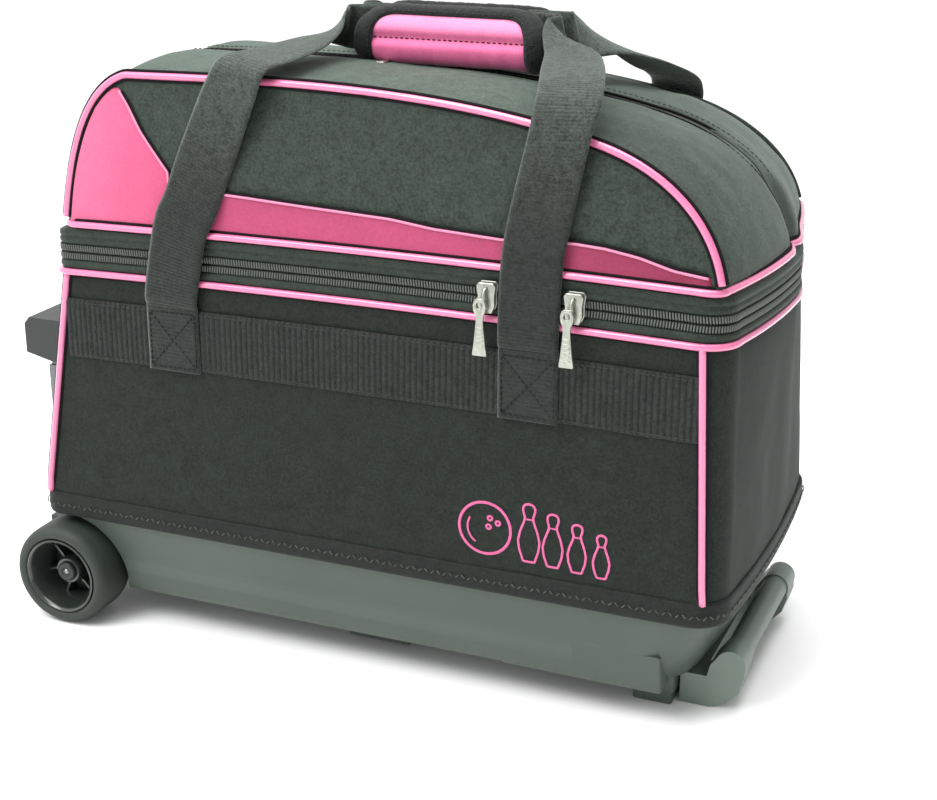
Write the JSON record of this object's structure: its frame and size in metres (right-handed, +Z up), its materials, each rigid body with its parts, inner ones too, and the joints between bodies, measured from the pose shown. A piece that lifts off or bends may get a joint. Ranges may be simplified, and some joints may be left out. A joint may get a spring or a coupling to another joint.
{
  "type": "wheeled bowling ball bag",
  "caption": "Boxy wheeled bag for two bowling balls, with a domed zip-open lid, webbing carry straps, a pull handle and a grab bar",
  "frame": {"origin": "centre of the bag's footprint on the floor", "axes": "+X along the bag's length towards the grab bar, -Y the front with the badge and zip tabs, +Z up"},
  "size_m": [0.53, 0.2698, 0.422],
  "materials": {
    "body_fabric": "woven polyester, dark grey-green",
    "pink_fabric": "satin nylon, hot pink",
    "piping": "smooth pale pink piping",
    "webbing": "ribbed webbing",
    "zip_tape": "woven tape",
    "zip_coil": "nylon coil",
    "base_plastic": "fine moulded grain, grey-green",
    "dark_plastic": "moulded black plastic",
    "hub_plastic": "satin moulded hub",
    "tyre": "smooth tread",
    "nickel": "nickel plated",
    "steel": "zinc plated",
    "aluminium": "satin anodised",
    "padding": "foam under a thin lining",
    "embroidery": "satin stitch"
  },
  "bodies": {
    "base": {"base_tray": "base_plastic", "base_binding": "webbing", "base_board": "padding", "ball_cup_left": "padding", "ball_cup_right": "padding", "ball_divider": "padding", "body_front_panel": "body_fabric", "body_back_panel": "body_fabric", "body_left_panel": "body_fabric", "body_right_panel": "body_fabric", "front_corner_piping": "piping", "back_corner_piping": "piping", "body_rim_piping": "piping", "body_zip_tape": "zip_tape", "body_zip_coil": "zip_coil", "front_webbing_band": "webbing", "back_webbing_band": "webbing", "front_strap_ends": "webbing", "back_strap_ends": "webbing", "front_emblem": "embroidery", "grab_bar": "base_plastic", "grab_bar_screws": "steel", "centre_skid": "dark_plastic", "wheel_axle": "steel", "axle_caps": "base_plastic", "handle_bracket": "dark_plastic", "handle_outer_tubes": "aluminium"},
    "lid": {"lid_front_panel": "body_fabric", "lid_back_panel": "body_fabric", "lid_gusset": "body_fabric", "lid_floor": "padding", "lid_rim_piping": "piping", "lid_zip_tape": "zip_tape", "lid_zip_coil": "zip_coil", "front_arch_piping": "piping", "back_arch_piping": "body_fabric", "pink_corner_panel": "pink_fabric", "pink_sweep_panel": "pink_fabric", "top_zip_tape": "zip_tape", "top_zip_coil": "zip_coil"},
    "top_zip_slider": {"top_slider": "nickel", "top_pull": "nickel"},
    "front_carry": {"front_strap": "webbing", "front_sleeve": "pink_fabric"},
    "back_carry": {"back_strap": "webbing", "back_sleeve": "pink_fabric"},
    "front_wheel": {"wheel_hub_front": "hub_plastic", "wheel_tyre_front": "tyre"},
    "back_wheel": {"wheel_hub_back": "hub_plastic", "wheel_tyre_back": "tyre"},
    "left_zip_slider": {"left_slider": "nickel"},
    "left_zip_tab": {"left_pull": "nickel"},
    "right_zip_slider": {"right_slider": "nickel"},
    "right_zip_tab": {"right_pull": "nickel"},
    "stage_1": {"handle_stage_1": "aluminium"},
    "stage_2": {"handle_stage_2": "aluminium"},
    "stage_3": {"handle_stage_3": "aluminium"},
    "grip": {"handle_stage_4": "aluminium", "handle_grip": "dark_plastic"},
    "grip_button": {"handle_button": "dark_plastic"}
  },
  "joints": [
    {"name": "lid_open", "type": "hinge", "parent": "base", "child": "lid", "pos_m": [0, 0.121, 0.267], "axis": [-1, 0, 0], "range_deg": [0, 100], "deforming": ["front_strap", "front_sleeve", "back_strap", "back_sleeve"]},
    {"name": "front_carry_drop", "type": "hinge", "parent": "base", "child": "front_carry", "pos_m": [0, -0.123, 0.238], "axis": [1, 0, 0], "range_deg": [0, 160]},
    {"name": "back_carry_drop", "type": "hinge", "parent": "base", "child": "back_carry", "pos_m": [0, 0.123, 0.238], "axis": [-1, 0, 0], "range_deg": [0, 130]},
    {"name": "top_zip_run", "type": "slide", "parent": "lid", "child": "top_zip_slider", "axis": [1, 0, 0], "range_m": [-0.03, 0.04]},
    {"name": "front_wheel_spin", "type": "hinge", "parent": "base", "child": "front_wheel", "pos_m": [-0.21, -0.115, 0.036], "axis": [0, 1, 0], "continuous": true},
    {"name": "back_wheel_spin", "type": "hinge", "parent": "base", "child": "back_wheel", "pos_m": [-0.21, 0.115, 0.036], "axis": [0, 1, 0], "continuous": true},
    {"name": "left_zip_run", "type": "slide", "parent": "base", "child": "left_zip_slider", "axis": [-1, 0, 0], "range_m": [0, 0.17]},
    {"name": "left_tab_swing", "type": "hinge", "parent": "left_zip_slider", "child": "left_zip_tab", "pos_m": [0.104, -0.1308, 0.267], "axis": [-1, 0, 0], "range_deg": [0, 150]},
    {"name": "right_zip_run", "type": "slide", "parent": "base", "child": "right_zip_slider", "axis": [1, 0, 0], "range_m": [0, 0.055]},
    {"name": "right_tab_swing", "type": "hinge", "parent": "right_zip_slider", "child": "right_zip_tab", "pos_m": [0.158, -0.1308, 0.267], "axis": [-1, 0, 0], "range_deg": [0, 150]},
    {"name": "stage_1_extend", "type": "slide", "parent": "base", "child": "stage_1", "axis": [0, 0, 1], "range_m": [0, 0.13]},
    {"name": "stage_2_extend", "type": "slide", "parent": "stage_1", "child": "stage_2", "axis": [0, 0, 1], "range_m": [0, 0.13]},
    {"name": "stage_3_extend", "type": "slide", "parent": "stage_2", "child": "stage_3", "axis": [0, 0, 1], "range_m": [0, 0.13]},
    {"name": "grip_extend", "type": "slide", "parent": "stage_3", "child": "grip", "axis": [0, 0, 1], "range_m": [0, 0.13]},
    {"name": "button_press", "type": "slide", "parent": "grip", "child": "grip_button", "axis": [0, 0, -1], "range_m": [0, 0.004], "stiffness_N_per_m": 400}
  ],
  "couplings": [
    {"joint": "front_carry_drop", "follows": "lid_open", "ratio": 1.6},
    {"joint": "back_carry_drop", "follows": "lid_open", "ratio": 1.3},
    {"joint": "stage_2_extend", "follows": "stage_1_extend", "ratio": 1},
    {"joint": "stage_3_extend", "follows": "stage_1_extend", "ratio": 1},
    {"joint": "grip_extend", "follows": "stage_1_extend", "ratio": 1}
  ]
}
